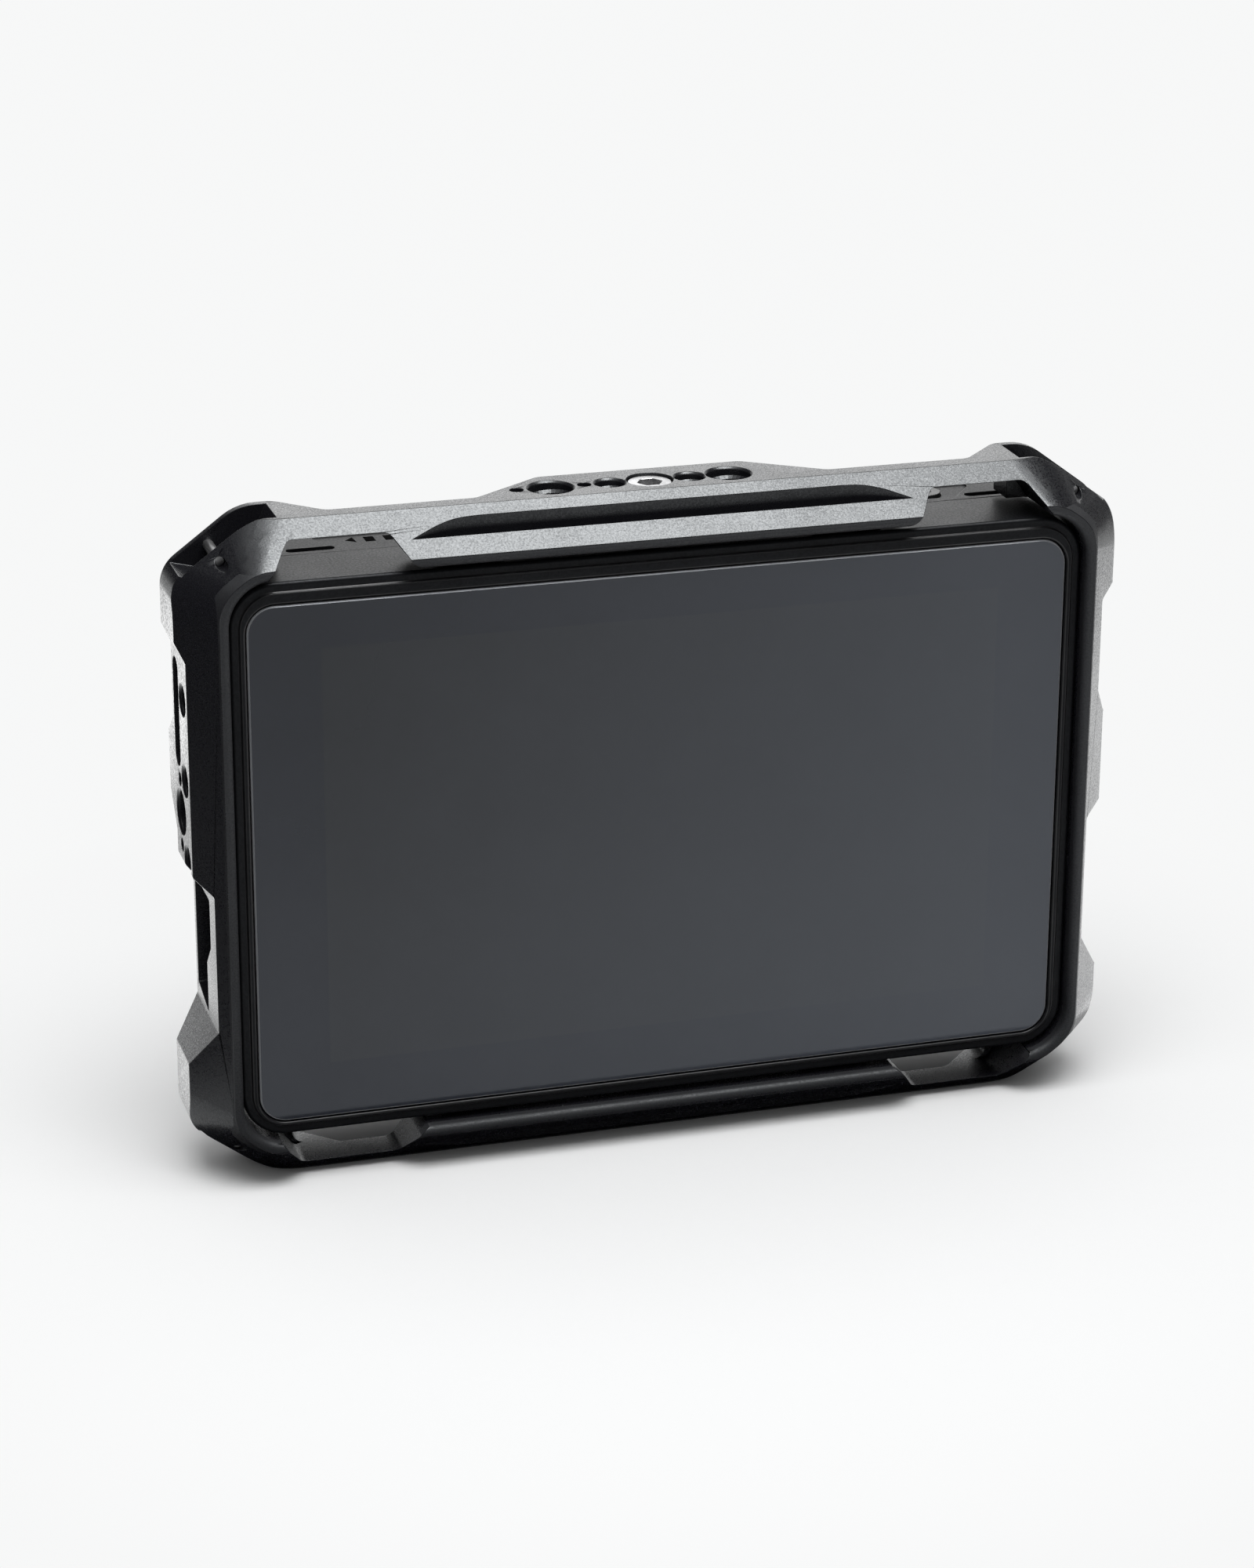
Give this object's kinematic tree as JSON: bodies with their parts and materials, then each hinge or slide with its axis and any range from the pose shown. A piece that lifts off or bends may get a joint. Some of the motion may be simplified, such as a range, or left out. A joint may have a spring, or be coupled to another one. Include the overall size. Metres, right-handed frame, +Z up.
{
  "type": "camera field monitor",
  "caption": "Camera-top field monitor in a machined metal cage with sloped front, corner strap slots, threaded mounting pads, side port windows, keys, cooling fan and slide-on battery plate.",
  "frame": {"origin": "on the surface that the cage stands on, under the middle of the whole part's box", "axes": "+X to the right of someone who faces the screen, +Y from the screen to the back, +Z up"},
  "size_m": [0.2104, 0.0408, 0.1484],
  "materials": {
    "cage_black": "fine matt black anodising with bright machined edges",
    "steel": "plain turned steel",
    "dark_steel": "black oxide",
    "brass": "plain turned brass",
    "gold": "gold plated",
    "rubber": "matt",
    "housing": "fine satin texture",
    "cover_glass": "glossy, dark when the screen is off",
    "panel": "dark polarised display panel",
    "light_guide": "white light guide",
    "tray_metal": "stamped sheet",
    "ribbon": "amber film",
    "circuit_board": "green solder mask",
    "chip": "moulded black",
    "sink_metal": "dark anodised",
    "fan_plastic": "moulded",
    "socket_metal": "nickel plated",
    "socket_plastic": "moulded",
    "latch_plastic": "moulded",
    "key_plastic": "satin"
  },
  "bodies": {
    "monitor": {"cage_frame": "cage_black", "strap_pins": "steel", "cage_screws": "steel", "mount_bushes": "brass", "cage_pads": "rubber", "front_bezel": "housing", "rear_shell": "housing", "shell_screws": "dark_steel", "cover_glass": "cover_glass", "glass_seal": "rubber", "lcd_panel": "panel", "backlight": "light_guide", "panel_tray": "tray_metal", "tray_screws": "steel", "panel_ribbon": "ribbon", "board_standoffs": "brass", "main_board": "circuit_board", "board_screws": "steel", "processor": "chip", "memory_chips": "chip", "heat_sink": "sink_metal", "fan_frame": "fan_plastic", "fan_stator": "brass", "fan_screws": "dark_steel", "video_input": "socket_metal", "video_output": "socket_metal", "headphone_jack": "socket_plastic", "dc_inlet": "socket_plastic", "key_board": "circuit_board", "key_board_screws": "steel", "key_switches": "socket_plastic", "battery_plate": "housing", "plate_screws": "dark_steel", "latch_spring": "steel", "contact_block": "socket_plastic", "battery_contacts": "gold"},
    "power_key": {"power_button": "key_plastic", "power_plunger": "key_plastic"},
    "function_key_1": {"function_1_button": "key_plastic", "function_1_plunger": "key_plastic"},
    "function_key_2": {"function_2_button": "key_plastic", "function_2_plunger": "key_plastic"},
    "latch": {"battery_latch": "latch_plastic"},
    "fan": {"fan_rotor": "fan_plastic"}
  },
  "joints": [
    {"name": "power_press", "type": "slide", "parent": "monitor", "child": "power_key", "axis": [0, 0, -1], "range_m": [0, 0.0006], "stiffness_N_per_m": 800},
    {"name": "function_1_press", "type": "slide", "parent": "monitor", "child": "function_key_1", "axis": [0, 0, -1], "range_m": [0, 0.0006], "stiffness_N_per_m": 800},
    {"name": "function_2_press", "type": "slide", "parent": "monitor", "child": "function_key_2", "axis": [0, 0, -1], "range_m": [0, 0.0006], "stiffness_N_per_m": 800},
    {"name": "battery_latch_press", "type": "slide", "parent": "monitor", "child": "latch", "axis": [0, -1, 0], "range_m": [0, 0.0018], "stiffness_N_per_m": 600, "deforming": ["latch_spring"]},
    {"name": "fan_spin", "type": "hinge", "parent": "monitor", "child": "fan", "pos_m": [0.046, 0.01038, 0.0602], "axis": [0, 1, 0], "continuous": true}
  ]
}
